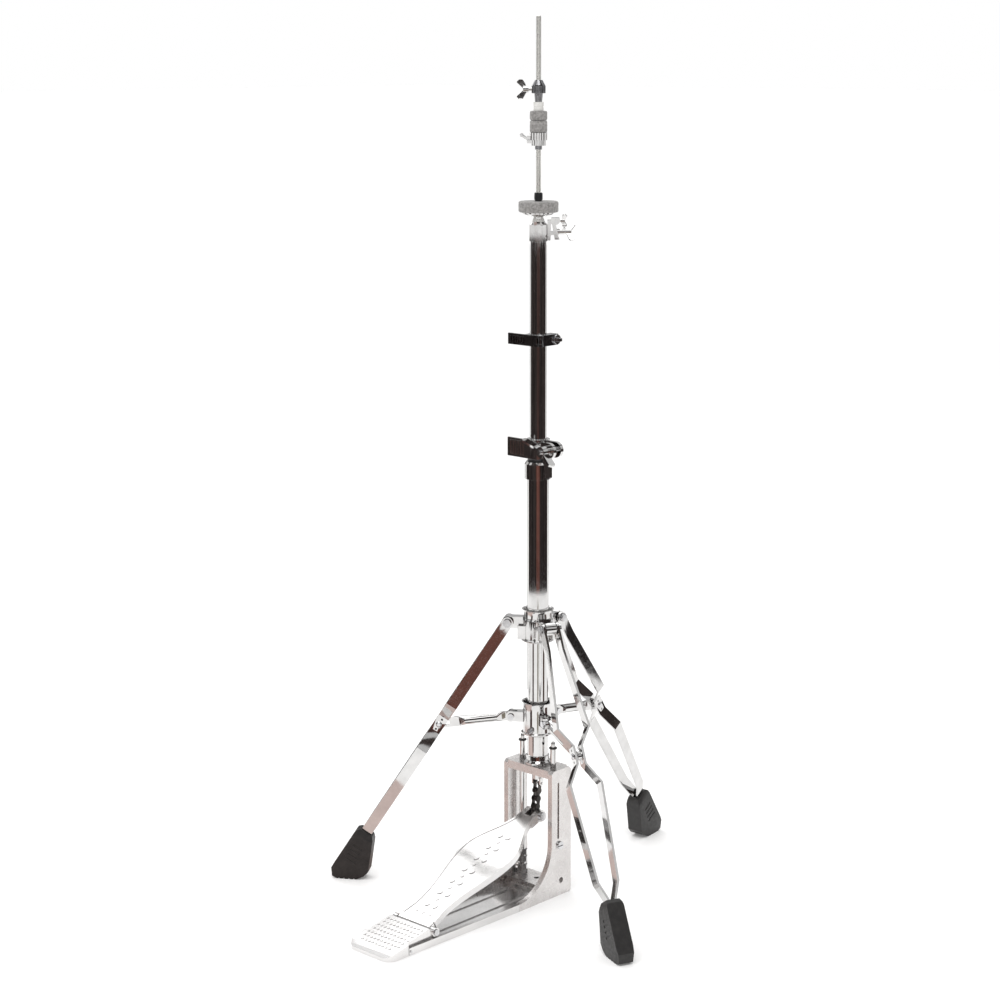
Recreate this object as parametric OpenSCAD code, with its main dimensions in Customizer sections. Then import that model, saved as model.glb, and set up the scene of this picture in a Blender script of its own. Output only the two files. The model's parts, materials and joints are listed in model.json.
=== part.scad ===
/* [Tubes and rod] */
// Outer diameter of the lower tube
lower_tube_d = 28.6; // [25.4:0.1:32]
// Outer diameter of the height tube
upper_tube_d = 22.2; // [19:0.1:25.4]
// Diameter of the pull rod
rod_d = 6.35; // [5:0.05:8]
// Wall of both tubes
tube_wall = 1.6; // [1.2:0.1:2.5]
// Top of the pull rod above the floor
rod_top = 1171; // [1050:1:1250]
// Top of the lower tube above the floor
lower_tube_top = 596; // [520:1:640]
// Top of the height tube above the floor
upper_tube_top = 886; // [820:1:960]

/* [Pedal frame] */
// Half width over the two side plates
frame_half = 44; // [38:0.5:50]
// Thickness of a side plate
side_t = 7.5; // [5:0.5:10]
// Front edge of the side plates
frame_front = -20; // [-28:1:-14]
// Back edge of the side plates
frame_back = 19; // [14:1:28]
// Top of the frame
frame_top = 179; // [150:1:200]
// Height of the top bar
bar_h = 11; // [8:1:16]
// Offset of a spring column from the middle
column_x = 28; // [24:0.5:30]

/* [Footboard] */
// Heel hinge distance in front of the tube
heel_y = 236; // [200:1:260]
// Heel hinge height
heel_z = 16; // [12:1:22]
// Slope of the footboard at rest
board_slope = 21.8; // [15:0.1:28]
// Half width at the belly of the footboard
belly_w = 44; // [36:0.5:48]
// Half width at the waist of the footboard
waist_w = 26; // [22:0.5:34]
// Half width at the fork of the footboard
fork_w = 13; // [12:0.5:20]
// Toe bolt distance in front of the tube
toe_y = 6; // [0:0.5:12]
// Toe bolt height
toe_z = 106; // [90:1:120]
// Height of the rod connector pin
chain_top = 150; // [130:1:160]

/* [Tripod] */
// Swing of the tripod from the symmetric position
tripod_turn = 5; // [0:1:15]
// Leg angle from the vertical
leg_angle = 32.8; // [20:0.1:40]
// Height of the leg hinges
leg_z = 376; // [330:1:420]
// Radius of the leg hinges
leg_r = 40; // [36:0.5:48]
// Height of the brace hinges
brace_z = 244; // [230:1:280]
// Radius of the brace hinges
brace_r = 36; // [32:0.5:42]
// Distance from the leg hinge to the brace rivet
rivet_s = 175; // [150:1:200]
// Width of a leg strap
strap_w = 15.4; // [12:0.1:20]
// Thickness of a leg strap
strap_t = 3.2; // [2:0.1:4]
// Diameter of a brace tube
brace_d = 12.7; // [9:0.1:16]
// Width of a rubber foot across the leg
foot_w = 24; // [20:1:32]
// Reach of a rubber foot inwards from the leg at the floor
foot_reach = 33; // [26:1:40]

/* [Cymbal seat and clutch] */
// Underside of the seat dish
seat_z = 918; // [880:1:960]
// Diameter of the seat felt
seat_felt_d = 52; // [40:1:60]
// Diameter of the clutch felts
clutch_felt_d = 22.7; // [20:0.1:30]
// Underside of the clutch
clutch_z = 1008; // [980:1:1040]

/* [Locks] */
// Underside of the memory lock
lock_z = 750; // [700:1:820]
// Height of the memory lock
lock_h = 14.5; // [10:0.5:20]
// Underside of the tube clamp
clamp_z = 573; // [540:1:600]
// Reach of the flat ears from the tube axis
ear_reach = 40; // [30:1:48]

/* [Hidden] */
$fn = 48;
run = 0.06;
gap = 0.4;
slack = 1.3;
collar_r = 20.4;
lip_r = 20.2;
lr = lower_tube_d / 2;
bush_r = lr + 4;
ur = upper_tube_d / 2;
rr = rod_d / 2;
inner = frame_half - side_t;
view_turn = 42.2;
legs = [210 + tripod_turn, 330 + tripod_turn, 90 + tripod_turn];
rivet = [leg_r + rivet_s * sin(leg_angle), leg_z - rivet_s * cos(leg_angle)];
brace_run = rivet - [brace_r, brace_z];
brace_l = norm(brace_run);
brace_drop = -atan2(brace_run[1], brace_run[0]);
toe_run = [heel_y - toe_y, toe_z - heel_z];
toe_l = norm(toe_run);
toe_rise = atan2(toe_run[1], toe_run[0]) - board_slope;
chain_l = norm([toe_y, chain_top - toe_z]);
chain_tilt = atan2(toe_y, chain_top - toe_z);
pitch = chain_l / 4;
connector_h = 17.2;
board_top = 6.4;
board_end = 234;
strap_path = [
  [0, 8.5], [32, 8.5], [138, 20.5], [163, 4], [187, 4], [214, 20.5], [343, 12.5], [366, 3], [379, 3]
];
foot_top = 366;
ferrule_r = 12.6;
ferrule_flat = ferrule_r * cos(22.5);
clutch_parts = [clutch_z + 16.3, clutch_z + 32, clutch_z + 44, clutch_z + 55, clutch_z + 66];

module ring(r_out, r_in, z0, z1) {
  translate([0, 0, z0]) difference() {
    cylinder(r = r_out, h = z1 - z0);
    translate([0, 0, -1]) cylinder(r = r_in, h = z1 - z0 + 2);
  }
}

module rod_x(r, x0, x1) {
  translate([x0, 0, 0]) rotate([0, 90, 0]) cylinder(r = r, h = x1 - x0);
}

module rod_y(r, y0, y1) {
  translate([0, y0, 0]) rotate([-90, 0, 0]) cylinder(r = r, h = y1 - y0);
}

module box(x0, x1, y0, y1, z0, z1) {
  translate([x0, y0, z0]) cube([x1 - x0, y1 - y0, z1 - z0]);
}

module both_sides() {
  children();
  mirror([1, 0, 0]) children();
}

// Profile drawn in Y and Z, extruded along X.
module side_profile(x0, x1, points) {
  translate([x0, 0, 0]) rotate([90, 0, 90]) linear_extrude(x1 - x0) polygon(points);
}

// Hub along +X with two flat wings that lean outwards.
module wing_screw(hub_r, hub_l, reach, chord, lean) {
  rod_x(hub_r, 0, hub_l);
  for (side = [0, 180])
    rotate([side, 0, 0]) translate([0, 1.5, 0]) rotate([90, 0, 0]) linear_extrude(3)
      polygon([
        [hub_l * 0.15, hub_r * 0.4], [hub_l * 0.95, hub_r * 0.4], [lean + chord, reach - 3],
        [lean + chord - 3, reach], [lean + 2, reach], [lean, reach - 2]
      ]);
}

// ---------------------------------------------------------------- pedal frame

module pedal_frame() color([0.83, 0.8, 0.79]) {
  bend = 66;
  both_sides() difference() {
    side_profile(inner, frame_half, [
      [frame_back, 2], [frame_back - 4, 0], [-84, 0], [-84, 10], [frame_front, 80],
      [frame_front, frame_top - 4], [frame_front + 4, frame_top], [frame_back - 4, frame_top],
      [frame_back, frame_top - 4]
    ]);
    translate([0, frame_front - bend, 10 + bend]) rod_x(bend, inner - 1, frame_half + 1);
    box(inner - 1, frame_half + 1, -8.6, -5.4, 83, 160);
    for (z = [83, 160]) translate([0, -7, z]) rod_x(1.6, inner - 1, frame_half + 1);
    translate([0, -1, 21]) rod_x(4, inner - 1, frame_half + 1);
    translate([0, -4, 72]) rod_x(3.05, inner - 1, frame_half + 1);
  }
  difference() {
    box(-inner, inner, frame_front, frame_back, frame_top - bar_h, frame_top);
    translate([0, 0, frame_top - bar_h - 1]) cylinder(r = rr + 1.5, h = bar_h + 2);
    both_sides() translate([column_x, 0, frame_top - bar_h + 2]) cylinder(r = 2.56, h = bar_h);
  }
}

module cross_plate() color([0.8, 0.78, 0.77]) difference() {
  union() {
    box(-inner, inner, frame_front, frame_back - 2, 9, 13);
    box(-inner, inner, frame_front - 5, frame_front, 4, 14);
    box(-inner, inner, frame_front - 9, frame_front - 5, 4, 8);
  }
  translate([0, -2, 8]) cylinder(r = 3.5, h = 6);
  both_sides() translate([column_x, 0, 8]) cylinder(r = 4.25, h = 6);
}

module base_plate() color([0.86, 0.86, 0.87]) {
  box(-inner, inner, -heel_y - 6, frame_back, 0, 4);
  for (x = [-19, 13]) box(x, x + 6, -heel_y + 16, frame_front - 12, 4, 5.6);
  both_sides() difference() {
    linear_extrude(10) polygon([
      [inner, -84.2], [frame_half, -84.2], [frame_half - 4.5, -286], [frame_half - 8, -286],
      [frame_half - 8, -heel_y - 6], [inner, -heel_y - 6]
    ]);
    translate([0, -heel_y - 47, 5]) rod_x(1.6, frame_half - 7, frame_half + 1);
  }
}

module heel_plate() color([0.87, 0.87, 0.88]) {
  back = -heel_y - 7;
  end = -heel_y - 85;
  half = frame_half - 4.5;
  intersection() {
    side_profile(-half, half, [
      [end, 0], [end, 4.5], [end + 10, 10.5], [back - 4, 23.5], [back, 21], [back, 0]
    ]);
    union() {
      box(-half + 14, half - 14, end, back, -1, 40);
      box(-half, half, end + 14, -287, -1, 40);
      box(-half + 4, half - 4, -288, back, -1, 40);
      both_sides() translate([half - 14, end + 14, -1]) cylinder(r = 14, h = 40);
    }
  }
  tread = atan2(13, back - end - 14);
  translate([0, end + 10, 10.5]) rotate([tread, 0, 0])
    for (row = [0:6], col = [-5:5])
      if (abs(col) < 5 || row > 0)
        translate([col * 6.2 + (row % 2 - 0.5) * 1.6, 5 + row * 8.8, -0.5])
          cylinder(r = 1.7, h = 1.3, $fn = 16);
  both_sides() difference() {
    union() {
      translate([0, -heel_y, heel_z]) rod_x(6, 31, 38);
      box(31, inner - 0.8, back - 1, -heel_y, 5, heel_z + 3);
    }
    translate([0, -heel_y, heel_z]) rod_x(2.5, 30, 39);
  }
}

module heel_pin() color([0.35, 0.35, 0.37]) translate([0, -heel_y, heel_z]) {
  rod_x(2.5, -38, 38);
  both_sides() rod_x(4.2, 38, 40);
}

module spring_columns() color([0.8, 0.8, 0.82])
  both_sides() translate([column_x, 0, 0]) ring(4.2, 2.8, 4, frame_top - bar_h);

module base_fasteners() color([0.72, 0.72, 0.74]) {
  both_sides() translate([column_x, 0, 0]) for (z = [13, 30, 40]) difference() {
    translate([0, 0, z]) cylinder(r = 7, h = z > 13 ? 7 : 12, $fn = 6);
    translate([0, 0, z - 1]) cylinder(r = 4.2, h = 14);
  }
  both_sides() translate([0, -4, 72]) difference() {
    union() {
      rod_x(3, inner, frame_half);
      rod_x(5.5, frame_half, frame_half + 2.6);
    }
    box(frame_half + 1.4, frame_half + 4, -7, 7, -0.8, 0.8);
  }
  both_sides() translate([0, -heel_y - 47, 5]) rod_x(1.6, frame_half - 7, frame_half - 3.6);
  clamp_bolt();
}

module post(side) color([0.8, 0.8, 0.82]) translate([side * column_x, 0, frame_top]) difference() {
  union() {
    translate([0, 0, -8]) cylinder(r = 2.5, h = 9);
    translate([0, 0, gap]) cylinder(r = 4.2, h = 24.6);
    translate([0, 0, gap]) cylinder(r = 3, h = 32 - gap);
    translate([0, 0, 32]) cylinder(r1 = 3, r2 = 1.8, h = 3);
  }
  box(-4, 4, -0.6, 0.6, 33, 36);
}

module post_left() post(-1);
module post_right() post(1);

module post_ring(side) color([0.08, 0.08, 0.08])
  translate([side * column_x, 0, frame_top + 26.3])
    rotate_extrude() translate([4.3, 0]) circle(r = 1.3, $fn = 24);

module post_ring_left() post_ring(-1);
module post_ring_right() post_ring(1);

// ---------------------------------------------------------------- lower tube

module lower_tube() color([0.75, 0.75, 0.77]) ring(lr, lr - tube_wall, frame_top, lower_tube_top);

module tube_foot() color([0.75, 0.75, 0.77])
  translate([0, 0, frame_top]) rotate_extrude() polygon([
    [lr, 0], [19, 0], [19, 3], [16.4, 6], [15.6, 12], [lr, 12.6]
  ]);

module tube_bush() color([0.1, 0.1, 0.1]) {
  ring(lr - tube_wall, ur + run, lower_tube_top - 36, lower_tube_top);
  ring(lr - 0.3, ur + run, lower_tube_top, lower_tube_top + 3);
}

// Flat ear with straight ribs, standing in X and Z.
module ribbed_ear(x0, x1, y, h) {
  box(x0, x1, y, y + 3.2, 0, h);
  for (i = [0:5]) box(x0 + 4 + i * 4.4, x0 + 6 + i * 4.4, y - 0.9, y, 3, h - 3);
}

module tube_clamp() color([0.72, 0.72, 0.74]) translate([0, 0, clamp_z]) difference() {
  union() {
    cylinder(r = lr + 3.5, h = 20);
    translate([0, 0, 20]) cylinder(r1 = lr + 3.5, r2 = lr + 1.5, h = 3);
    translate([0, 0, 28]) cylinder(r = ur + 4.6, h = 25);
    translate([0, 0, 28]) ribbed_ear(-ear_reach, 2, -16.4, 25);
    box(-14, 0, -16.4, -8, 28, 53);
    box(lr, lr + 4.4, -7, 7, 2, 30);
    for (y = [-9.5, 4.5]) box(9, 26, y, y + 5, 30, 51);
    for (y = [-9.5, 4.5]) translate([26, 0, 40.5]) rod_y(10.5, y, y + 5);
    box(9, 16, -9.5, 9.5, 30, 51);
  }
  translate([0, 0, -1]) cylinder(r = lr, h = 24.3);
  translate([0, 0, 22]) cylinder(r = lr + 0.2, h = 6);
  translate([0, 0, 27]) cylinder(r = ur + run, h = 40);
  translate([24, 0, 40.5]) rod_y(3.1, -11, 11);
}

module clamp_bolt() translate([24, 0, clamp_z + 40.5]) {
  rod_y(3.05, -9.5, 9.5);
  rod_y(3, -26, -9.5);
  rod_y(6, 9.5, 13);
}

module clamp_wing() color([0.85, 0.85, 0.86])
  translate([24, -9.5 - gap, clamp_z + 40.5]) rotate([0, 0, -90]) rotate([60, 0, 0]) difference() {
    wing_screw(7, 13, 30, 11, 11);
    rod_x(3.06, -1, 20);
  }

// ---------------------------------------------------------------- footboard

function ease(u) = (1 - cos(180 * u)) / 2;
function board_half(y) =
  y < 35 ? 30 + (waist_w - 30) * ease(y / 35) :
  y < 148 ? waist_w + (belly_w - waist_w) * ease((y - 35) / 113) :
  belly_w + (fork_w - belly_w) * ease(min(1, (y - 148) / 84));

module board_outline(y0, y1, inset) {
  n = 40;
  side = [for (i = [0:n]) let(y = y0 + (y1 - y0) * i / n) [board_half(y) - inset, y]];
  polygon(concat(side, [for (i = [n:-1:0]) [-side[i][0], side[i][1]]]));
}

module footboard() color([0.86, 0.84, 0.83])
  translate([0, -heel_y, heel_z]) rotate([board_slope, 0, 0]) difference() {
    union() {
      translate([0, 0, board_top - 4]) linear_extrude(4) board_outline(-1, board_end, 2);
      translate([0, 0, board_top - 8.5]) linear_extrude(9.3) difference() {
        board_outline(9, board_end, 0);
        board_outline(8, board_end + 1, 3.4);
      }
      rod_x(5.5, -29.4, 29.4);
      box(-29.4, 29.4, -1, 7, 0, board_top - 1);
      for (y = [34:25:184], x = [-7, 7]) translate([x, y, board_top - 0.2]) cylinder(r = 4.2, h = 1.1, $fn = 20);
      for (y = [46.5:25:172]) translate([0, y, board_top - 0.2]) cylinder(r = 2.6, h = 1.1, $fn = 20);
      for (x = [-12, 0, 12]) translate([x, 18, board_top - 0.2]) cylinder(r = 2, h = 1.1, $fn = 20);
      both_sides() {
        box(5.3, fork_w, board_end - 10, toe_l * cos(toe_rise), -6, board_top);
        translate([0, toe_l * cos(toe_rise), toe_l * sin(toe_rise)]) rod_x(8.4, 5.3, fork_w);
      }
    }
    rod_x(2.56, -40, 40);
    translate([0, toe_l * cos(toe_rise), toe_l * sin(toe_rise)]) rod_x(2.2, -20, 20);
  }

module toe_bolt() color([0.7, 0.7, 0.72]) translate([0, -toe_y, toe_z]) {
  rod_x(2.2, -fork_w, fork_w);
  rod_x(6, fork_w, fork_w + 3);
  translate([-fork_w - 3.4, 0, 0]) rotate([0, 90, 0]) cylinder(r = 5, h = 3.4, $fn = 6);
}

// ---------------------------------------------------------------- rod and chain

module pull_rod() color([0.78, 0.77, 0.72]) {
  translate([0, 0, chain_top + connector_h]) cylinder(r = rr, h = rod_top - chain_top - connector_h - 1);
  translate([0, 0, rod_top - 1]) cylinder(r1 = rr, r2 = rr - 1, h = 1);
}

module rod_connector() color([0.74, 0.74, 0.76]) {
  translate([0, 0, chain_top]) {
    translate([0, 0, 6.5]) cylinder(r = 8, h = 7);
    translate([0, 0, 13.5]) cylinder(r1 = 8, r2 = 5, h = 2);
    translate([0, 0, 15.5]) cylinder(r = 5, h = connector_h - 15.5);
    both_sides() {
      box(5.6, 7.8, -3.5, 3.5, 0, 7.5);
      rod_x(3.5, 5.6, 7.8);
    }
    rod_x(1.6, -9, 9);
  }
}

module link(x0, x1, from, holes) {
  difference() {
    union() {
      for (i = [0, 1]) translate([0, 0, -(from + i) * pitch]) rod_x(4.4, x0, x1);
      box(x0, x1, -3, 3, -(from + 1) * pitch, -from * pitch);
    }
    for (i = [0, 1]) translate([0, 0, -(from + i) * pitch]) rod_x(holes[i], x0 - 1, x1 + 1);
  }
}

module hanging_chain()
  translate([0, 0, chain_top]) rotate([-chain_tilt, 0, 0]) children();

module chain_outer() color([0.12, 0.12, 0.12]) hanging_chain() both_sides() {
  link(3.7, 4.9, 0, [1.66, 1.6]);
  link(3.7, 4.9, 2, [1.6, 1.6]);
  for (i = [1:3]) translate([0, 0, -i * pitch]) rod_x(1.6, 0, 5.2);
}

module chain_inner() color([0.16, 0.15, 0.14]) hanging_chain() {
  both_sides() {
    link(2.2, 3.4, 1, [1.7, 1.7]);
    difference() {
      union() {
        for (i = [3, 4]) translate([0, 0, -i * pitch]) rod_x(i == 4 ? 5 : 4.4, 2.2, 3.4);
        box(2.2, 3.4, -3, 3, -4 * pitch, -3 * pitch);
      }
      translate([0, 0, -3 * pitch]) rod_x(1.7, 2, 4);
      translate([0, 0, -4 * pitch]) rod_x(3.4, 2, 4);
    }
  }
  for (i = [1:3]) translate([0, 0, -i * pitch]) difference() {
    rod_x(3.2, -2.2, 2.2);
    rod_x(1.7, -3, 3);
  }
  translate([0, 0, -4 * pitch]) difference() {
    rod_x(5, -2.2, 2.2);
    rod_x(3.4, -3, 3);
  }
}

// ---------------------------------------------------------------- height tube and seat

module in_view() rotate([0, 0, view_turn]) children();

module upper_tube() color([0.7, 0.7, 0.72]) ring(ur, ur - 1.5, 420, upper_tube_top);

module ferrule() color([0.8, 0.8, 0.82]) difference() {
  translate([0, 0, upper_tube_top]) intersection() {
    rotate([0, 0, view_turn + 22.5]) cylinder(r = ferrule_r, h = 25, $fn = 8);
    union() {
      cylinder(r = 13, h = 20);
      translate([0, 0, 20]) cylinder(r1 = 13, r2 = 8.2, h = 5);
    }
  }
  translate([0, 0, upper_tube_top - 1]) cylinder(r = rr + 1, h = 30);
}

module seat_neck() color([0.88, 0.87, 0.85])
  difference() {
    union() {
      translate([0, 0, upper_tube_top + 25]) rotate_extrude() polygon([
        [rr + 1.5, 0], [8, 0], [7.4, 2], [5.6, 6.2], [5.6, 8.7], [rr + 1.5, 8.7]
      ]);
      in_view() translate([0, 0, seat_z]) rod_y(1.5, -11, 11);
    }
    translate([0, 0, seat_z - 3]) cylinder(r = rr + 1.5, h = 6);
  }

module seat_sleeve() color([0.07, 0.07, 0.07]) {
  ring(4.7, rr + 0.9, upper_tube_top + 33.7, seat_z + 21);
  ring(5, rr + 0.9, seat_z + 21, seat_z + 30);
  for (a = [0:45:315]) rotate([0, 0, a]) box(4.6, 5.4, -0.6, 0.6, seat_z + 21, seat_z + 29);
}

module tilt_bracket() color([0.72, 0.72, 0.74]) in_view() translate([0, 0, upper_tube_top]) difference() {
  union() {
    rotate([90, 0, 0]) translate([0, 0, -6]) linear_extrude(12) difference() {
      polygon([
        [ferrule_flat, 1], [ferrule_flat, 27], [21, 27], [27, 2], [21, 2], [20, 8], [16, 8], [15.4, 1]
      ]);
      polygon([[16, 12], [19.4, 12], [17.6, 22], [16, 22]]);
    }
    translate([22, 0, 27]) rod_y(6, -6, 6);
    translate([0, 0, 12]) rod_x(3.8, 22, 34.2);
  }
  box(0, 40, -8, 8, 30, 40);
  translate([0, 0, 26]) rod_x(2.06, 15, 40);
  translate([0, 0, 12]) rod_x(2.06, 20, 40);
}

module tilt_wing() color([0.82, 0.82, 0.84])
  in_view() translate([0, 0, upper_tube_top + 26]) {
    rod_x(2, 17, 30);
    translate([29.2, 0, 0]) rotate([25, 0, 0]) wing_screw(3.4, 5, 9.8, 6, 2);
  }

module shift_wing() color([0.82, 0.82, 0.84])
  in_view() translate([0, 0, upper_tube_top + 12]) {
    rod_x(2, 21, 36);
    translate([34.6, 0, 0]) rotate([-35, 0, 0]) wing_screw(3.8, 8, 13, 8, 5);
  }

module seat_dish() color([0.82, 0.82, 0.84]) translate([0, 0, seat_z]) difference() {
  union() {
    rotate_extrude() polygon([[6.6, 0], [13, 0], [19, 2.2], [20.5, 3.4], [20.5, 5], [6.6, 5]]);
    in_view() both_sides_y() box(-3, 3, 7, 11.4, -3, 1);
  }
  in_view() rod_y(1.56, -12, 12);
}

module seat_felt() color([0.55, 0.54, 0.52])
  translate([0, 0, seat_z + 5]) rotate_extrude() polygon([
    [6.6, 0], [seat_felt_d / 2 - 2, 0], [seat_felt_d / 2, 2], [seat_felt_d / 2, 12],
    [seat_felt_d / 2 - 2, 14], [6.6, 14]
  ]);

// ---------------------------------------------------------------- clutch

module clutch_barrel() color([0.3, 0.3, 0.31]) difference() {
  union() {
    translate([0, 0, clutch_z - 5]) cylinder(r = 4.6, h = 60);
    translate([0, 0, clutch_parts[3]]) cylinder(r1 = 4.6, r2 = 5.6, h = 11);
    translate([0, 0, clutch_parts[4]]) cylinder(r = 9, h = 9);
    translate([0, 0, clutch_parts[4] + 9]) cylinder(r1 = 9, r2 = 5, h = 7.6);
  }
  translate([0, 0, clutch_z - 6]) cylinder(r = rr + 0.08, h = 100);
  translate([0, 0, clutch_parts[4] + 5]) rotate([0, 0, view_turn + 180]) rod_x(2.56, 2, 12);
}

module clutch_nut() color([0.9, 0.9, 0.88]) difference() {
  union() {
    ring(6.5, 4.6, clutch_parts[2], clutch_parts[2] + 4.6);
    ring(5.9, 4.6, clutch_parts[2] + 4.6, clutch_parts[2] + 6);
    ring(6.5, 4.6, clutch_parts[2] + 6, clutch_parts[3]);
  }
  for (a = [20:60:350]) rotate([0, 0, a]) box(5.7, 8, -0.9, 0.9, clutch_parts[2] + 6.5, clutch_parts[3] + 1);
}

module clutch_felts() color([0.5, 0.49, 0.47]) for (i = [0, 1]) {
  r = clutch_felt_d / 2;
  h = clutch_parts[i + 1] - clutch_parts[i] - 0.2;
  translate([0, 0, clutch_parts[i]]) rotate_extrude() polygon([
    [4.6, 0], [r - 1, 0], [r, 1], [r, h - 1], [r - 1, h], [4.6, h]
  ]);
}

module clutch_bottom() color([0.84, 0.84, 0.85]) difference() {
  union() {
    ring(11.5, 4.6, clutch_z + 7, clutch_parts[0]);
    ring(9.6, 4.6, clutch_z, clutch_z + 7);
    rotate([0, 0, view_turn + 180]) for (y = [-5, 2.2]) box(8, 15, y, y + 2.8, clutch_z + 3, clutch_z + 12);
  }
  rotate([0, 0, view_turn + 180]) translate([12.6, 0, clutch_z + 7]) rod_y(1.3, -6, 6);
  rotate([0, 0, view_turn + 180]) box(9.8, 17, -2.2, 2.2, clutch_z - 1, clutch_z + 14);
}

module clutch_wing() color([0.8, 0.8, 0.82])
  translate([0, 0, clutch_parts[4] + 5]) rotate([0, 0, view_turn + 180]) {
    rod_x(2.5, 4.2, 14);
    translate([13, 0, 0]) rotate([24, 0, 0]) wing_screw(4.4, 7, 13, 9, 6);
  }

module clutch_lever() color([0.7, 0.7, 0.72])
  rotate([0, 0, view_turn + 180]) translate([12.6, 0, clutch_z + 7]) {
    rod_y(1.24, -5, 5);
    rod_y(2.5, -1.8, 1.8);
    rotate([0, -35, 0]) box(0, 11, -1.8, 1.8, -1.6, 1.6);
    rotate([0, -35, 0]) translate([11, 0, 0]) rod_y(2.4, -1.8, 1.8);
  }

// ---------------------------------------------------------------- memory lock

module lock_band() color([0.3, 0.3, 0.31]) translate([0, 0, lock_z]) difference() {
  union() {
    cylinder(r = ur + 4, h = lock_h);
    ribbed_ear(-ear_reach, 3, -15.1, lock_h);
    box(-14, 3, -15.1, -8, 0, lock_h);
    box(2, 11.9, 12, 22, 0, lock_h);
    box(2, 11.9, 4, 14, 0, lock_h);
    translate([14, -11, 0]) cylinder(r = 3.4, h = 3.6);
    translate([14, -11, lock_h - 3.6]) cylinder(r = 3.4, h = 3.6);
    for (z = [0, lock_h - 3.6]) box(4, 13, -14, -8, z, z + 3.6);
  }
  translate([0, 0, -1]) cylinder(r = ur + run, h = lock_h + 2);
  box(12, 20, -7, 25, -1, lock_h + 1);
  box(9, 20, -16, -5, 3.6, lock_h - 3.6);
  translate([14, -11, -1]) cylinder(r = 1.5, h = lock_h + 2);
  translate([0, 18, lock_h / 2]) rod_x(2.56, 4, 14);
}

module lock_pin() color([0.6, 0.6, 0.62]) translate([14, -11, lock_z]) {
  cylinder(r = 1.5, h = lock_h);
  translate([0, 0, lock_h]) cylinder(r1 = 2.4, r2 = 1.8, h = 1.2);
}

module lock_gate() color([0.34, 0.34, 0.35]) translate([0, 0, lock_z]) difference() {
  union() {
    translate([14, -11, 4]) cylinder(r = 3.2, h = lock_h - 8);
    box(12.4, 15.6, -11, -6.4, 4, lock_h - 4);
    box(12.4, 15.6, -6.6, 22, 0, lock_h);
  }
  translate([14, -11, -1]) cylinder(r = 1.57, h = lock_h + 2);
  translate([0, 18, lock_h / 2]) rod_x(2.56, 11, 17);
}

module lock_key_screw() color([0.75, 0.75, 0.77]) translate([0, 18, lock_z + lock_h / 2]) {
  rod_x(2.5, 12.4, 15.6);
  rod_x(6.4, 15.6, 18);
  translate([18, 0, 0]) rotate([0, 90, 0]) rotate([0, 0, 45]) cylinder(r = 3.2, h = 6, $fn = 4);
}

// ---------------------------------------------------------------- tripod

// Sliding collar with a foot flange and a thin trumpet lip.
module collar_body(z0, z1, lip, bore) {
  h = z1 - z0 - lip;
  mouth = max(bore + 0.2, 16.8);
  flare = [for (i = [0:5]) let(u = i * 18) [(lip_r - mouth) * (1 - cos(u)), lip * sin(u)]];
  translate([0, 0, z0]) rotate_extrude() polygon(concat(
    [[bore, 0], [21.4, 0], [22.4, 1], [22.4, 2.4], [collar_r, 4], [collar_r, h - 3]],
    [for (p = flare) [mouth + 1.8 + p[0], h + p[1]]],
    [for (i = [5:-1:0]) [mouth + flare[i][0], h + flare[i][1]]],
    [[bore, h - 0.5]]
  ));
}

module lug(r, z, half_t, size) {
  box(17.5, r, -half_t, half_t, z - size + 0.6, z + size - 0.6);
  translate([r, 0, z]) rod_y(size, -half_t, half_t);
}

module leg_collar() color([0.74, 0.73, 0.72])
  collar_body(leg_z - 25, leg_z + 19, 12, lr + slack);

module leg_lugs() color([0.74, 0.73, 0.72]) difference() {
  for (a = legs) rotate([0, 0, a]) {
    lug(leg_r, leg_z, 7, 8.4);
    for (y = [-13.6, 10.6]) box(15, 26, y, y + 3, leg_z - 21, leg_z - 3);
  }
  for (a = legs) rotate([0, 0, a]) translate([leg_r, 0, leg_z]) rod_y(3.05, -8, 8);
  translate([0, 0, leg_z - 40]) cylinder(r = collar_r, h = 80);
}

module leg_bolts() color([0.7, 0.7, 0.72])
  for (a = legs) rotate([0, 0, a]) translate([leg_r, 0, leg_z]) {
    rod_y(3, -12.2, 12.2);
    rod_y(5.6, 12.1, 15.4);
    translate([0, -12.1, 0]) rotate([90, 0, 0]) cylinder(r = 5.8, h = 3.4, $fn = 6);
  }

module brace_collar() color([0.74, 0.73, 0.72]) difference() {
  collar_body(brace_z - 23, brace_z + 22, 12, bush_r);
  key_side() rod_x(2.5, 16, 24);
}

module key_side() rotate([0, 0, -73]) translate([0, 0, brace_z - 15]) children();

module brace_lugs() color([0.74, 0.73, 0.72]) difference() {
  union() {
    for (a = legs) rotate([0, 0, a]) lug(brace_r, brace_z, 7, 7.4);
    key_side() rod_x(3.9, 17, 23);
  }
  for (a = legs) rotate([0, 0, a]) {
    box(brace_r - 8, brace_r + 12, -2.35, 2.35, brace_z - 12, brace_z + 12);
    translate([brace_r, 0, brace_z]) rod_y(2.55, -8, 8);
  }
  translate([0, 0, brace_z - 40]) cylinder(r = collar_r, h = 80);
  key_side() rod_x(2.5, 16, 24);
}

module brace_bush() color([0.07, 0.07, 0.07])
  ring(bush_r, lr + run, brace_z - 23, brace_z + 12);

module brace_bolts() color([0.7, 0.7, 0.72]) {
  for (a = legs) rotate([0, 0, a]) translate([brace_r, 0, brace_z]) {
    rod_y(2.5, -7, 7);
    rod_y(4.4, 7, 9.6);
    translate([0, -7, 0]) rotate([90, 0, 0]) cylinder(r = 4.6, h = 2.8, $fn = 6);
  }
  key_side() {
    rod_x(2.5, bush_r + 0.05, 23);
    rod_x(4.4, 23, 25);
    translate([25, 0, 0]) rotate([0, 90, 0]) cylinder(r = 2.8, h = 5, $fn = 4);
  }
}

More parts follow.
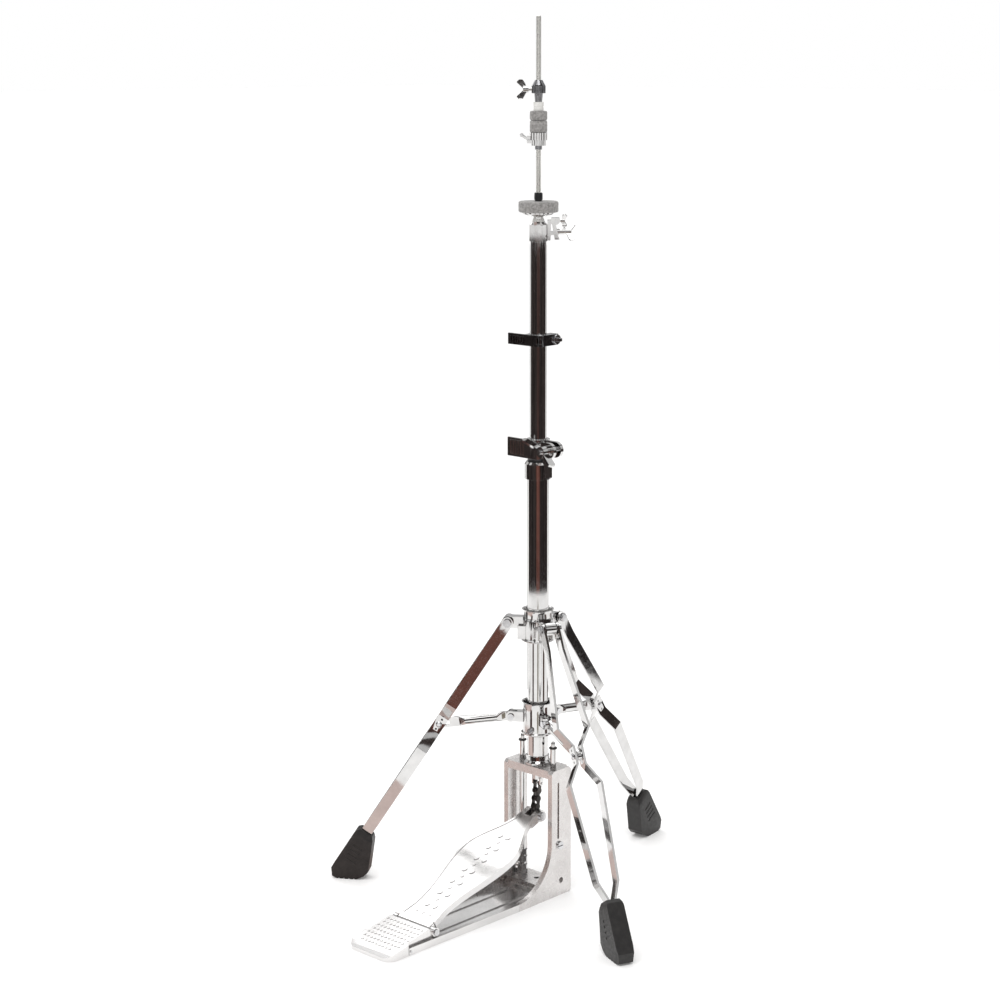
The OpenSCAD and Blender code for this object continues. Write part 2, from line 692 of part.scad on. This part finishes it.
// A leg hangs along -Z from its hinge, with X outwards and Y across.
module on_leg(a) rotate([0, 0, a]) translate([leg_r, 0, leg_z]) rotate([0, -leg_angle, 0]) children();

module strap() {
  n = len(strap_path) - 1;
  difference() {
    union() {
      rotate([90, 0, 90]) translate([0, 0, -strap_w / 2]) linear_extrude(strap_w) polygon(concat(
        [for (p = strap_path) [p[1], -p[0]]],
        [for (i = [n:-1:0]) [strap_path[i][1] + strap_t, -strap_path[i][0]]]
      ));
      rod_y(strap_w / 2, strap_path[0][1], strap_path[0][1] + strap_t);
    }
    rod_y(3.07, 0, 20);
    for (s = [-8, 0, 8]) translate([0, 0, s - rivet_s]) rod_y(s == 0 ? 2.25 : 1.5, 0, 12);
  }
}

module leg(a) color([0.8, 0.8, 0.82]) on_leg(a) {
  strap();
  mirror([0, 1, 0]) strap();
}

module leg_left() leg(legs[0]);
module leg_right() leg(legs[1]);
module leg_rear() leg(legs[2]);

module rivets(a) color([0.7, 0.7, 0.72]) on_leg(a) translate([0, 0, -rivet_s]) {
  rod_y(2.2, -4 - strap_t, 4 + strap_t);
  for (side = [0, 180]) rotate([0, 0, side]) translate([0, 4 + strap_t, 0]) rotate([-90, 0, 0])
    cylinder(r1 = 4.4, r2 = 2.6, h = 2);
}

module rivets_left() rivets(legs[0]);
module rivets_right() rivets(legs[1]);
module rivets_rear() rivets(legs[2]);

function sole(e) = -(leg_z + e * sin(leg_angle)) / cos(leg_angle);

module foot(a) color([0.07, 0.07, 0.07]) on_leg(a) difference() {
  w = foot_w / 2;
  inset = strap_w / 2;
  intersection() {
    rotate([90, 0, 0]) translate([0, 0, -w]) linear_extrude(foot_w) polygon([
      [-10, -foot_top], [9.5, -foot_top], [13.5, -foot_top - 5], [13.5, sole(13.5) + 19],
      [6, sole(6) + 4], [-2, sole(-2)], [9 - foot_reach, sole(9 - foot_reach)],
      [2 - foot_reach, sole(2 - foot_reach) + 6], [-foot_reach, sole(-foot_reach) + 14],
      [-14.5, -foot_top - 5]
    ]);
    rotate([90, 0, 90]) translate([0, 0, -50]) linear_extrude(100) polygon([
      [3 - w, -foot_top], [w - 3, -foot_top], [w, -foot_top - 9], [w, -foot_top - 62],
      [w - 3, -foot_top - 90], [3 - w, -foot_top - 90], [-w, -foot_top - 62], [-w, -foot_top - 9]
    ]);
  }
  box(-inset, inset, -3 - strap_t, 3 + strap_t, -379, -foot_top + 1);
  for (x = [-22:6:2]) translate([x, 0, sole(x)]) rotate([0, leg_angle, 0]) box(-1, 1, -w - 1, w + 1, -1, 1.6);
  for (z = [0:3]) both_sides_y() box(-9 - z, 6, w - 0.8, w + 1, -foot_top - 25 - z * 7, -foot_top - 22 - z * 7);
}

module both_sides_y() {
  children();
  mirror([0, 1, 0]) children();
}

module foot_left() foot(legs[0]);
module foot_right() foot(legs[1]);
module foot_rear() foot(legs[2]);

module brace(a) color([0.8, 0.8, 0.82])
  rotate([0, 0, a]) translate([brace_r, 0, brace_z]) rotate([0, brace_drop, 0]) difference() {
    union() {
      rod_y(6.3, -2, 2);
      box(0, 10, -2, 2, -6.3, 6.3);
      hull() {
        box(9.5, 10, -2, 2, -6.3, 6.3);
        rod_x(brace_d / 2, 20, 20.5);
      }
      rod_x(brace_d / 2, 20, brace_l - 36);
      hull() {
        rod_x(brace_d / 2, brace_l - 36.5, brace_l - 36);
        box(brace_l - 25, brace_l - 24.5, -2, 2, -6.8, 6.8);
      }
      box(brace_l - 25, brace_l, -2, 2, -6.8, 6.8);
      translate([brace_l, 0, 0]) rod_y(6.8, -2, 2);
    }
    rod_y(2.56, -4, 4);
    hull() for (x = [-10.3, 0]) translate([brace_l + x, 0, 0]) rod_y(3.7, -4, 4);
  }

module brace_left() brace(legs[0]);
module brace_right() brace(legs[1]);
module brace_rear() brace(legs[2]);

pedal_frame();
cross_plate();
base_plate();
heel_plate();
heel_pin();
spring_columns();
base_fasteners();
lower_tube();
tube_foot();
tube_bush();
tube_clamp();
clamp_wing();
post_left();
post_right();
post_ring_left();
post_ring_right();
footboard();
toe_bolt();
pull_rod();
rod_connector();
chain_outer();
chain_inner();
upper_tube();
ferrule();
seat_neck();
seat_sleeve();
tilt_bracket();
tilt_wing();
shift_wing();
seat_dish();
seat_felt();
clutch_barrel();
clutch_nut();
clutch_felts();
clutch_bottom();
clutch_wing();
clutch_lever();
lock_band();
lock_pin();
lock_gate();
lock_key_screw();
leg_collar();
leg_lugs();
leg_bolts();
brace_collar();
brace_lugs();
brace_bush();
brace_bolts();
leg_left();
leg_right();
leg_rear();
rivets_left();
rivets_right();
rivets_rear();
foot_left();
foot_right();
foot_rear();
brace_left();
brace_right();
brace_rear();
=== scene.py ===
import json
import math

import bmesh
import bpy
from mathutils import Matrix, Vector, noise


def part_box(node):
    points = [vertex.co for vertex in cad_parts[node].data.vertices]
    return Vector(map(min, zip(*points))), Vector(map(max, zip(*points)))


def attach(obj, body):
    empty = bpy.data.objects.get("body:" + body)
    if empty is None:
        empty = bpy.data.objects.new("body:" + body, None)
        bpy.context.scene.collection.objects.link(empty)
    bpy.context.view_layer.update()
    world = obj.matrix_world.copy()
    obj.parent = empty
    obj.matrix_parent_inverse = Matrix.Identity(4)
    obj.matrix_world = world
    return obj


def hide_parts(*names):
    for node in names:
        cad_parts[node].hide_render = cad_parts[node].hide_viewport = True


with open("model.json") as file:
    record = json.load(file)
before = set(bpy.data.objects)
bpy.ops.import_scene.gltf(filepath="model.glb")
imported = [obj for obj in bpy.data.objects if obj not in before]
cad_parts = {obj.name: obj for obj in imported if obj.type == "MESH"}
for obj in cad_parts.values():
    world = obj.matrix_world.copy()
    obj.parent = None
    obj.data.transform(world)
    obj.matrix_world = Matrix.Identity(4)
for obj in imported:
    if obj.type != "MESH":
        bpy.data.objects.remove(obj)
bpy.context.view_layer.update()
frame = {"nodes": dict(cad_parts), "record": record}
NODES = frame["nodes"]
BODY_OF = {n: b for b, ns in frame["record"]["behaviour"]["bodies"].items() for n in ns}
SLOT_OF = {s["node"]: s["material_slot"] for s in frame["record"]["subparts"]}

MM = 0.001
VIEW_TURN = math.radians(42.2)


# ------------------------------------------------------------------ materials

class Look:
    """A Principled material with helpers for procedural detail in object space."""

    def __init__(self, name, **sockets):
        self.material = bpy.data.materials.new(name)
        self.material.use_nodes = True
        self.nodes = self.material.node_tree.nodes
        self.links = self.material.node_tree.links
        self.shader = self.nodes["Principled BSDF"]
        self.coords = self.nodes.new("ShaderNodeTexCoord").outputs["Object"]
        for socket, value in sockets.items():
            self.shader.inputs[socket.replace("_", " ")].default_value = value

    def stretched(self, scale):
        mapping = self.nodes.new("ShaderNodeMapping")
        mapping.inputs["Scale"].default_value = scale
        self.links.new(self.coords, mapping.inputs["Vector"])
        return mapping.outputs["Vector"]

    def noise(self, scale, detail=4.0, rough=0.55, stretch=(1, 1, 1)):
        node = self.nodes.new("ShaderNodeTexNoise")
        node.inputs["Scale"].default_value = scale
        node.inputs["Detail"].default_value = detail
        node.inputs["Roughness"].default_value = rough
        self.links.new(self.stretched(stretch), node.inputs["Vector"])
        return node.outputs["Fac"]

    def ramp(self, value, stops):
        node = self.nodes.new("ShaderNodeValToRGB")
        elements = node.color_ramp.elements
        while len(elements) < len(stops):
            elements.new(0.5)
        for element, (at, colour) in zip(elements, stops):
            element.position = at
            element.color = (*colour, 1)
        self.links.new(value, node.inputs["Fac"])
        return node.outputs["Color"]

    def spread(self, value, low, high, from_low=0.3, from_high=0.7):
        node = self.nodes.new("ShaderNodeMapRange")
        for socket, number in zip(("From Min", "From Max", "To Min", "To Max"),
                                  (from_low, from_high, low, high)):
            node.inputs[socket].default_value = number
        self.links.new(value, node.inputs["Value"])
        return node.outputs["Result"]

    def set(self, socket, value):
        self.links.new(value, self.shader.inputs[socket])
        return self

    def bump(self, value, strength, distance):
        node = self.nodes.new("ShaderNodeBump")
        node.inputs["Strength"].default_value = strength
        node.inputs["Distance"].default_value = distance
        previous = self.shader.inputs["Normal"].links
        if previous:
            self.links.new(previous[0].from_socket, node.inputs["Normal"])
        self.links.new(value, node.inputs["Height"])
        self.links.new(node.outputs["Normal"], self.shader.inputs["Normal"])
        return self


def metal(name, dark, light, rough, grain=(1, 1, 1), grain_scale=900, grain_depth=0.02, mottle=60):
    """Metal whose tint and polish drift slowly and whose surface carries a fine grain."""
    look = Look(name, Metallic=1.0)
    look.set("Base Color", look.ramp(look.noise(mottle, 5), [(0.3, dark), (0.7, light)]))
    look.set("Roughness", look.spread(look.noise(mottle * 2.3, 6, 0.65), *rough))
    look.bump(look.noise(grain_scale, 6, 0.7, grain), grain_depth, 0.0002)
    return look.material


def soft(name, dark, light, rough, scale, depth, distance=0.0004, sheen=0.0):
    """Rubber, plastic or felt: mottled colour over a bumpy, non-metallic surface."""
    look = Look(name, Sheen_Weight=sheen)
    look.set("Base Color", look.ramp(look.noise(scale * 0.35, 6, 0.7), [(0.32, dark), (0.68, light)]))
    look.set("Roughness", look.spread(look.noise(scale * 0.6, 4), *rough))
    look.bump(look.noise(scale, 8, 0.75), depth, distance)
    look.bump(look.noise(scale * 5, 4, 0.6), depth * 0.5, distance * 0.3)
    return look.material


MATERIALS = {
    "chrome": metal("chrome_plate", (0.60, 0.595, 0.59), (0.70, 0.695, 0.69), (0.035, 0.09),
                    grain_scale=500, grain_depth=0.012),
    "tube": metal("chrome_tube", (0.62, 0.615, 0.61), (0.70, 0.695, 0.69), (0.03, 0.07),
                  grain=(1, 1, 0.04), grain_scale=800, grain_depth=0.012),
    "steel": metal("zinc_steel", (0.55, 0.55, 0.56), (0.72, 0.72, 0.73), (0.12, 0.24)),
    "cast": metal("cast_aluminium", (0.60, 0.58, 0.57), (0.72, 0.70, 0.69), (0.20, 0.34),
                  grain_scale=1400, grain_depth=0.12, mottle=35),
    "board": metal("polished_aluminium", (0.70, 0.69, 0.685), (0.80, 0.79, 0.785), (0.16, 0.24),
                   grain=(1, 0.06, 1), grain_scale=900, grain_depth=0.03, mottle=14),
    "rod": metal("drawn_steel", (0.86, 0.85, 0.80), (0.94, 0.93, 0.89), (0.20, 0.28),
                 grain=(1, 1, 0.02), grain_scale=900, grain_depth=0.015, mottle=12),
    "black_steel": metal("black_oxide", (0.030, 0.028, 0.027), (0.10, 0.09, 0.085), (0.24, 0.40),
                         grain_depth=0.05),
    # dark_metal: chrome whose base colour is darkened as a painted dark reflection of the dark room around
    # the locks, not a dark plating
    "dark_metal": metal("chrome_painted_dark_reflection", (0.20, 0.20, 0.21), (0.34, 0.34, 0.35), (0.08, 0.18)),
    "rubber": soft("black_rubber", (0.009, 0.0085, 0.0085), (0.022, 0.020, 0.019), (0.38, 0.55), 420, 0.22),
    "black_plastic": soft("black_nylon", (0.010, 0.010, 0.011), (0.025, 0.025, 0.027), (0.34, 0.48),
                          260, 0.1),
    "white_plastic": soft("light_nylon", (0.66, 0.65, 0.62), (0.80, 0.79, 0.77), (0.36, 0.5), 260, 0.08),
    "felt": soft("pressed_felt", (0.13, 0.125, 0.12), (0.40, 0.385, 0.375), (0.9, 1.0),
                 950, 0.7, distance=0.0007, sheen=0.3),
}


# -------------------------------------------------------------- mesh building

def finish_piece(obj, node, look=None):
    """Puts a piece on its node's body and slot, and hides the node that it stands for."""
    obj.data.materials.clear()
    obj.data.materials.append(MATERIALS[look or SLOT_OF[node]])
    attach(obj, BODY_OF[node])
    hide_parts(node)
    return obj


def object_from(bm, name):
    bmesh.ops.recalc_face_normals(bm, faces=bm.faces)
    mesh = bpy.data.meshes.new(name)
    bm.to_mesh(mesh)
    bm.free()
    obj = bpy.data.objects.new(name, mesh)
    bpy.context.scene.collection.objects.link(obj)
    return obj


def shade(obj, sharp_deg=38):
    """Smooth shading that stays crisp where two faces meet at more than sharp_deg."""
    obj.data.polygons.foreach_set("use_smooth", [True] * len(obj.data.polygons))
    bm = bmesh.new()
    bm.from_mesh(obj.data)
    limit = math.radians(sharp_deg)
    for edge in bm.edges:
        edge.smooth = len(edge.link_faces) == 2 and edge.calc_face_angle(0) < limit
    bm.to_mesh(obj.data)
    bm.free()
    even = obj.modifiers.new("even_normals", "WEIGHTED_NORMAL")
    even.keep_sharp = True
    return obj


def rounded_copy(node, width, segments=2, corner_deg=32, look=None):
    """The CAD node's own shape with its sharp edges rounded over."""
    bm = bmesh.new()
    bm.from_mesh(NODES[node].data)
    bmesh.ops.remove_doubles(bm, verts=bm.verts, dist=2e-6)
    bmesh.ops.dissolve_limit(bm, angle_limit=math.radians(0.6), verts=bm.verts, edges=bm.edges)
    limit = math.radians(corner_deg)
    corners = [e for e in bm.edges if len(e.link_faces) == 2 and e.calc_face_angle(0) > limit]
    bmesh.ops.bevel(bm, geom=corners, offset=width, segments=segments, profile=0.5,
                    affect="EDGES", clamp_overlap=True)
    obj = object_from(bm, node + "_look")
    shade(obj)
    return finish_piece(obj, node, look)


def lathe(name, profile, centre=(0, 0), segments=128, ripple=None):
    """A closed profile of (radius, height) in millimetres turned about a vertical axis."""
    bm = bmesh.new()
    rings = []
    for i in range(segments):
        turn = math.tau * i / segments
        ring = []
        for r, z in profile:
            if ripple:
                r, z = ripple(r, z, turn)
            ring.append(bm.verts.new(((centre[0] + r * math.cos(turn)) * MM,
                                      (centre[1] + r * math.sin(turn)) * MM, z * MM)))
        rings.append(ring)
    count = len(profile)
    for a, b in zip(rings, rings[1:] + rings[:1]):
        for k in range(count):
            bm.faces.new((a[k], b[k], b[(k + 1) % count], a[(k + 1) % count]))
    return object_from(bm, name)


def size_of(node):
    """Outer radius, bottom and top of an upright round node, in millimetres."""
    low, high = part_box(node)
    return (high[0] - low[0]) / 2 / MM, low[2] / MM, high[2] / MM


def tube_piece(node, wall):
    """A drawn tube with rounded rims."""
    r, bottom, top = size_of(node)
    rim = [(0.0, 0.5), (0.15, 0.15), (0.5, 0.0)]
    outer = [(r - a, bottom + b) for a, b in reversed(rim)] + [(r - a, top - b) for a, b in rim]
    inner = [(r - wall + 0.3, top), (r - wall, top - 0.3), (r - wall, bottom + 0.3), (r - wall + 0.3, bottom)]
    return finish_piece(shade(lathe(node + "_look", outer + inner)), node, "tube")


def rod_piece(node):
    """The pull rod with a turned point at its top."""
    r, bottom, top = size_of(node)
    profile = [(0.01, bottom), (r, bottom), (r, top - 1.2), (r - 0.3, top - 0.5), (r - 1.1, top), (0.01, top)]
    return finish_piece(shade(lathe(node + "_look", profile, segments=64)), node)


def felt_ring(name, outer, inner, bottom, top, seed):
    """A pressed felt washer with soft rims and a lumpy surface."""
    soft_rim = 2.2
    profile = []
    corner_r = outer - soft_rim
    for corner_z, start in ((bottom + soft_rim, -90), (top - soft_rim, 0)):
        for k in range(7):
            turn = math.radians(start + 15 * k)
            profile.append((corner_r + soft_rim * math.cos(turn), corner_z + soft_rim * math.sin(turn)))
        if start == -90:
            steps = max(2, round((top - bottom) / 0.6))
            low, high = bottom + soft_rim, top - soft_rim
            profile += [(outer, low + (high - low) * k / steps) for k in range(1, steps)]
    profile += [(inner + 0.6, top), (inner, top - 0.6), (inner, bottom + 0.6), (inner + 0.6, bottom)]

    def lumps(r, z, turn):
        place = Vector((r * math.cos(turn), r * math.sin(turn), z)) * 0.55 + Vector((seed, 0, 0))
        dent = 0.26 * noise.noise(place) + 0.18 * noise.noise(place * 3.1) + 0.12 * noise.noise(place * 7.3)
        return (r + dent - 0.25 if r > inner + 1 else r), z

    obj = lathe(name, profile, segments=240, ripple=lumps)
    return shade(obj, 80)


def felts():
    r, bottom, top = size_of("seat_felt")
    seat = finish_piece(felt_ring("seat_felt_look", r, 6.6, bottom, top, 3), "seat_felt")
    r, bottom, top = size_of("clutch_felts")
    split = bottom + (top - bottom) * 0.567
    for name, low, high, seed in (("lower", bottom, split - 0.1, 5), ("upper", split + 0.1, top, 8)):
        piece = finish_piece(felt_ring(f"clutch_felt_{name}", r, 4.6, low, high, seed), "clutch_felts")


# -------------------------------------------------------------- whole object

EDGE = {"pedal_frame": 0.9, "footboard": 0.5, "base_plate": 0.6, "heel_plate": 0.5,
        "foot_left": 1.8, "foot_right": 1.8, "foot_rear": 1.8, "leg_collar": 0.5,
        "brace_collar": 0.5, "tube_clamp": 0.5, "ferrule": 0.8, "clamp_wing": 1.0, "tilt_wing": 0.8,
        "shift_wing": 0.8, "clutch_wing": 0.9, "clutch_lever": 0.6}
DEFAULT_EDGE = 0.3
OWN_LOOK = {"lower_tube", "upper_tube", "pull_rod", "seat_felt", "clutch_felts"}

for node in NODES:
    if node not in OWN_LOOK:
        rounded_copy(node, EDGE.get(node, DEFAULT_EDGE) * MM, segments=3 if node.endswith("wing") else 2,
                     look="board" if node in ("base_plate", "heel_plate") else None)
tube_piece("lower_tube", 1.6)
tube_piece("upper_tube", 1.5)
rod_piece("pull_rod")
felts()


# ------------------------------------------------------------ studio, camera

CARD_LIFT = 0.001


def stage_plane(name, corners, material):
    mesh = bpy.data.meshes.new(name)
    mesh.from_pydata([Vector(c) for c in corners], [], [range(len(corners))])
    obj = bpy.data.objects.new(name, mesh)
    bpy.context.scene.collection.objects.link(obj)
    mesh.materials.append(material)


def plain(name, colour, rough=0.8, glow=0.0):
    look = Look(name, Roughness=rough, Emission_Color=(1, 1, 1, 1), Emission_Strength=glow)
    look.set("Base Color", look.ramp(look.noise(3), [(0.3, colour), (0.7, tuple(c * 0.985 for c in colour))]))
    return look.material


def mirror_strip(name, middle, half_turn, ends, material, steps):
    """A strip swept round the object between two (radius, height) ends."""
    bm = bmesh.new()
    rows = []
    for i in range(steps + 1):
        turn = middle + half_turn * (2 * i / steps - 1)
        rows.append([bm.verts.new((r * math.cos(turn), r * math.sin(turn), z)) for r, z in ends])
    for a, b in zip(rows, rows[1:]):
        bm.faces.new((a[0], b[0], b[1], a[1]))
    only_in_mirrors(object_from(bm, name), material)


def arc_card(name, middle, half_turn, radius, low, high, material):
    """An upright bent card, as the dark room in front of a white sweep."""
    mirror_strip(name, middle, half_turn, ((radius, low), (radius, high)), material, 24)


def floor_card(name, middle, half_turn, near, far, material):
    """A patch lying on the floor."""
    mirror_strip(name, middle, half_turn, ((near, CARD_LIFT), (far, CARD_LIFT)), material, 8)


def only_in_mirrors(card, material):
    """Gives a card its material and shows it to reflections alone."""
    card.data.materials.append(material)
    card.visible_camera = False
    card.visible_diffuse = False
    card.visible_shadow = False
    card.visible_transmission = False


def dark_card(name, dark, light, scale=1.1):
    look = Look(name, Roughness=1.0, Specular_IOR_Level=0.0)
    look.set("Base Color", look.ramp(look.noise(scale, 2), [(0.35, dark), (0.7, light)]))
    return look.material


def white_world():
    """White where the camera looks past the floor, a soft grey gradient for light and reflections."""
    world = bpy.data.worlds.new("studio")
    bpy.context.scene.world = world
    world.use_nodes = True
    nodes, links = world.node_tree.nodes, world.node_tree.links
    background = nodes["Background"]
    place = nodes.new("ShaderNodeTexCoord")
    split = nodes.new("ShaderNodeSeparateXYZ")
    links.new(place.outputs["Generated"], split.inputs["Vector"])
    height = nodes.new("ShaderNodeValToRGB")
    height.color_ramp.elements[0].color = (0.40, 0.40, 0.40, 1)
    height.color_ramp.elements[1].color = (0.95, 0.95, 0.95, 1)
    links.new(split.outputs["Z"], height.inputs["Fac"])
    links.new(height.outputs["Color"], background.inputs["Color"])
    shown = nodes.new("ShaderNodeBackground")
    shown.inputs["Color"].default_value = (1.0, 1.0, 1.0, 1)
    ray = nodes.new("ShaderNodeLightPath")
    mix = nodes.new("ShaderNodeMixShader")
    links.new(ray.outputs["Is Camera Ray"], mix.inputs["Fac"])
    links.new(background.outputs["Background"], mix.inputs[1])
    links.new(shown.outputs["Background"], mix.inputs[2])
    links.new(mix.outputs["Shader"], nodes["World Output"].inputs["Surface"])


def area_lamp(name, place, size, energy, aim=(0, 0, 0.4)):
    lamp = bpy.data.objects.new(name, bpy.data.lights.new(name, "AREA"))
    lamp.data.size = size
    lamp.data.energy = energy
    lamp.location = place
    lamp.rotation_mode = "QUATERNION"
    lamp.rotation_quaternion = (Vector(aim) - Vector(place)).to_track_quat("-Z", "Y")
    bpy.context.scene.collection.objects.link(lamp)


def studio():
    far = 60
    stage_plane("floor", [(-far, -far, 0), (far, -far, 0), (far, far, 0), (-far, far, 0)],
                plain("floor_paper", (0.93, 0.925, 0.92), glow=0.10))
    white_world()
    camera_side = VIEW_TURN - math.pi / 2
    black = dark_card("dark_room", (0.018, 0.015, 0.015), (0.060, 0.048, 0.045), 2.5)
    brown = dark_card("wooden_door", (0.10, 0.040, 0.032), (0.26, 0.115, 0.090), 2.5)
    dim = dark_card("dim_wall", (0.045, 0.028, 0.026), (0.13, 0.075, 0.065), 2.5)
    olive = dark_card("floor_shade", (0.20, 0.18, 0.14), (0.30, 0.27, 0.22), 2.0)
    pink = dark_card("floor_glow", (0.58, 0.46, 0.43), (0.70, 0.58, 0.54), 2.0)
    room, top, door, side = 1.6, 0.757, math.radians(17), math.radians(51)
    for name, s in (("left", -1), ("right", 1)):
        arc_card("dark_" + name, camera_side + s * (door + side), side, room, 0.02, top, black)
        arc_card("edge_" + name, camera_side + s * math.radians(153), math.radians(7), 0.95, 0.0, 0.80, black)
    arc_card("door", camera_side, door, room, 0.02, 0.30, brown)
    arc_card("wall", camera_side, door, room, 0.30, top, dim)
    arc_card("ceiling", camera_side, math.radians(75), room, 1.80, 3.0, black)
    flags = ((-104, 6), (-62, 7), (-24, 3), (9, 2.5), (40, 5), (74, 8), (118, 6))
    for k, (turn, half) in enumerate(flags):
        arc_card(f"flag_{k}", camera_side + math.radians(turn), math.radians(half), room, top, 2.0, black)
    floor_card("shade", camera_side, math.radians(6), 0.72, 1.58, olive)
    floor_card("glow", camera_side - math.radians(84), math.radians(34), 0.10, 0.75, pink)
    for k, (turn, half, near, far) in enumerate(((-52, 8, 0.6, 1.5), (66, 10, 0.5, 1.4), (128, 8, 0.8, 1.5))):
        floor_card(f"stripe_{k}", camera_side + math.radians(turn), math.radians(half), near, far, dim)
    lamp = bpy.data.objects.new("sky_panel", bpy.data.lights.new("sky_panel", "SUN"))
    lamp.data.energy = 0.95
    lamp.data.angle = math.radians(50)
    lamp.rotation_euler = (math.radians(28), math.radians(-14), VIEW_TURN)
    bpy.context.scene.collection.objects.link(lamp)
    area_lamp("key", (1.6, -1.2, 2.9), 1.2, 12)
    area_lamp("overhead", (-1.5, 0.7, 2.3), 2.4, 24)
    bpy.context.scene.view_settings.view_transform = "Standard"


def photo_camera():
    distance, height, turn, tilt, roll = 2.807, 1.121, 0.0180, 0.2030, -0.0023
    data = bpy.data.cameras.new("camera")
    data.lens = 77.7
    data.sensor_width = 36
    camera = bpy.data.objects.new("camera", data)
    camera.location = (distance * math.sin(VIEW_TURN), -distance * math.cos(VIEW_TURN), height)
    yaw = VIEW_TURN + turn
    aim = Vector((-math.sin(yaw) * math.cos(tilt), math.cos(yaw) * math.cos(tilt), -math.sin(tilt)))
    camera.rotation_mode = "QUATERNION"
    camera.rotation_quaternion = aim.to_track_quat("-Z", "Y") @ Matrix.Rotation(roll, 3, "Z").to_quaternion()
    bpy.context.scene.collection.objects.link(camera)
    bpy.context.scene.camera = camera


studio()
photo_camera()
